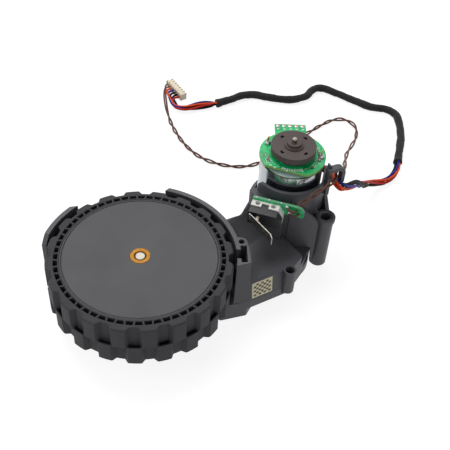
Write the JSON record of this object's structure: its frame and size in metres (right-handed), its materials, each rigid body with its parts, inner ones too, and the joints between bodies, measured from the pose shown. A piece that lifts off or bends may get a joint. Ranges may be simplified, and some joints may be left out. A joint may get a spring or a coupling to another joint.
{
  "type": "robot vacuum wheel module",
  "caption": "Driven rubber wheel on a swing arm with enclosed gear train, motor with encoder board, limit switch with lever, pivot boss and wiring harness.",
  "frame": {"origin": "on the wheel axis, at the gearbox's underside", "axes": "+Z along the wheel axis towards the wheel's open face, +X and +Y across it, the motor lying towards +X +Y"},
  "size_m": [0.1542, 0.1856, 0.0565],
  "materials": {
    "tyre_rubber": "matt moulded rubber",
    "rim_plastic": "moulded, fine texture",
    "cap_plastic": "moulded, satin",
    "housing_plastic": "moulded, fine spark texture",
    "gear_plastic": "natural acetal",
    "brass": "sintered and turned",
    "steel": "ground",
    "can_steel": "zinc plated",
    "magnet_grey": "sintered ferrite",
    "copper": "copper segments",
    "board_green": "solder mask",
    "chip_black": "moulded package",
    "encoder_brown": "bonded magnet",
    "switch_white": "moulded",
    "switch_black": "moulded",
    "contact_metal": "tinned",
    "spring_steel": "rolled strip",
    "wire_colours": "wire insulation, five colours",
    "sheath_black": "cloth tape",
    "wire_brown": "wire insulation",
    "connector_cream": "natural nylon"
  },
  "bodies": {
    "root": {"wheel_axle": "steel", "gearbox_base": "housing_plastic", "gearbox_cover": "housing_plastic", "gear_pins": "steel", "housing_screws": "steel", "motor_cradle": "housing_plastic", "motor_can": "can_steel", "motor_end_cap": "switch_white", "motor_magnets": "magnet_grey", "motor_terminals": "contact_metal", "encoder_board": "board_green", "encoder_sensors": "chip_black", "switch_board": "board_green", "switch_cover": "switch_white", "switch_base": "switch_black", "switch_terminals": "contact_metal", "motor_wires": "wire_colours", "harness_sheath": "sheath_black", "fan_wires": "wire_colours", "switch_lead": "wire_brown", "connector_housing": "connector_cream", "connector_contacts": "contact_metal"},
    "wheel": {"tyre": "tyre_rubber", "wheel_rim": "rim_plastic", "hub_cap": "cap_plastic", "hub_bush": "brass", "output_gear": "gear_plastic"},
    "rotor": {"motor_shaft": "steel", "rotor_core": "can_steel", "commutator": "copper", "motor_pinion": "brass", "encoder_magnet": "encoder_brown"},
    "gear_1": {"gear_1": "gear_plastic"},
    "gear_2": {"gear_2": "gear_plastic"},
    "gear_3": {"gear_3": "gear_plastic"},
    "switch_lever": {"switch_lever": "spring_steel"},
    "switch_plunger": {"switch_plunger": "switch_white"}
  },
  "joints": [
    {"name": "wheel_spin", "type": "hinge", "parent": "root", "child": "wheel", "pos_m": [0, 0, 0.01885], "axis": [0, 0, 1], "continuous": true},
    {"name": "gear_3_spin", "type": "hinge", "parent": "root", "child": "gear_3", "pos_m": [0.02136, 0.00907, 0.004], "axis": [0, 0, 1], "continuous": true},
    {"name": "gear_2_spin", "type": "hinge", "parent": "root", "child": "gear_2", "pos_m": [0.038, 0.01802, 0.004], "axis": [0, 0, 1], "continuous": true},
    {"name": "gear_1_spin", "type": "hinge", "parent": "root", "child": "gear_1", "pos_m": [0.05186, 0.02581, 0.007], "axis": [0, 0, 1], "continuous": true},
    {"name": "rotor_spin", "type": "hinge", "parent": "root", "child": "rotor", "pos_m": [0.05485, 0.0405, 0.03], "axis": [0, 0, 1], "continuous": true},
    {"name": "lever_hinge", "type": "hinge", "parent": "root", "child": "switch_lever", "pos_m": [0.03967, 0.01767, 0.0355], "axis": [0, 0, 1], "range_deg": [0, 18], "stiffness_Nm_per_rad": 0.013},
    {"name": "plunger_slide", "type": "slide", "parent": "root", "child": "switch_plunger", "axis": [0.2385, 0.9711, 0], "range_m": [0, 0.00098]}
  ],
  "couplings": [
    {"joint": "gear_3_spin", "follows": "wheel_spin", "ratio": -3.1429},
    {"joint": "gear_2_spin", "follows": "wheel_spin", "ratio": 8.1714},
    {"joint": "gear_1_spin", "follows": "wheel_spin", "ratio": -22.763},
    {"joint": "rotor_spin", "follows": "wheel_spin", "ratio": 74.794},
    {"joint": "plunger_slide", "follows": "lever_hinge", "m_per_rad": 0.0031}
  ]
}
